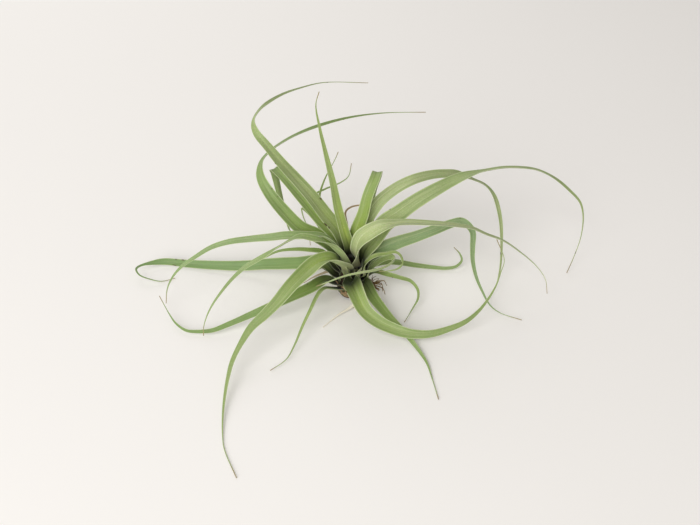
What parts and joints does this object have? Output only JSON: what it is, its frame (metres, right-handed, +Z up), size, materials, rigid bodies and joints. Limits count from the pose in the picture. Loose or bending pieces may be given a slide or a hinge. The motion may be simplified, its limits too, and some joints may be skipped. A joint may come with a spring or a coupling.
{
  "type": "air plant",
  "caption": "Unpotted air plant: a loose rosette of channelled silver-green strap leaves that arch out from a short woody stem and end in curled threads",
  "frame": {"origin": "middle of the small flat spot under the stem, on the surface that the plant lies on", "axes": "+Z up along the stem, +X to the right as seen in the picture, -Y towards the viewer"},
  "size_m": [0.3145, 0.2928, 0.1424],
  "materials": {
    "leaf_green": "soft matte green with a silver bloom of fine scales",
    "leaf_dry": "dry, brown and matte",
    "stem": "rough, covered in old leaf bases",
    "root": "wiry and rough"
  },
  "bodies": {
    "root": {"stem": "stem", "roots": "root", "leaf_rear_left_tall": "leaf_green", "leaf_rear_left_folded": "leaf_green", "leaf_rear_left_swept": "leaf_green", "leaf_centre_upright": "leaf_green", "leaf_rear_thin_straight": "leaf_green", "leaf_rear_thin_curl": "leaf_green", "leaf_rear_dry_curl": "leaf_dry", "leaf_rear_hanging": "leaf_green", "leaf_rear_right_upright": "leaf_green", "leaf_right_arched": "leaf_green", "leaf_right_long": "leaf_green", "leaf_front_right_silver": "leaf_green", "leaf_right_folded": "leaf_green", "leaf_right_low": "leaf_green", "leaf_right_looped": "leaf_green", "leaf_right_curled": "leaf_green", "leaf_right_drooping": "leaf_green", "leaf_front_swept": "leaf_green", "leaf_front_right_low": "leaf_green", "leaf_front_left_broad": "leaf_green", "leaf_left_low": "leaf_green", "leaf_left_flat": "leaf_green", "leaf_left_arched": "leaf_green", "leaf_left_over": "leaf_green", "leaf_left_short": "leaf_green", "leaf_left_tucked": "leaf_green", "leaf_left_withered": "leaf_dry", "leaf_front_left_small": "leaf_green", "leaf_front_straw": "leaf_dry"}
  },
  "joints": []
}
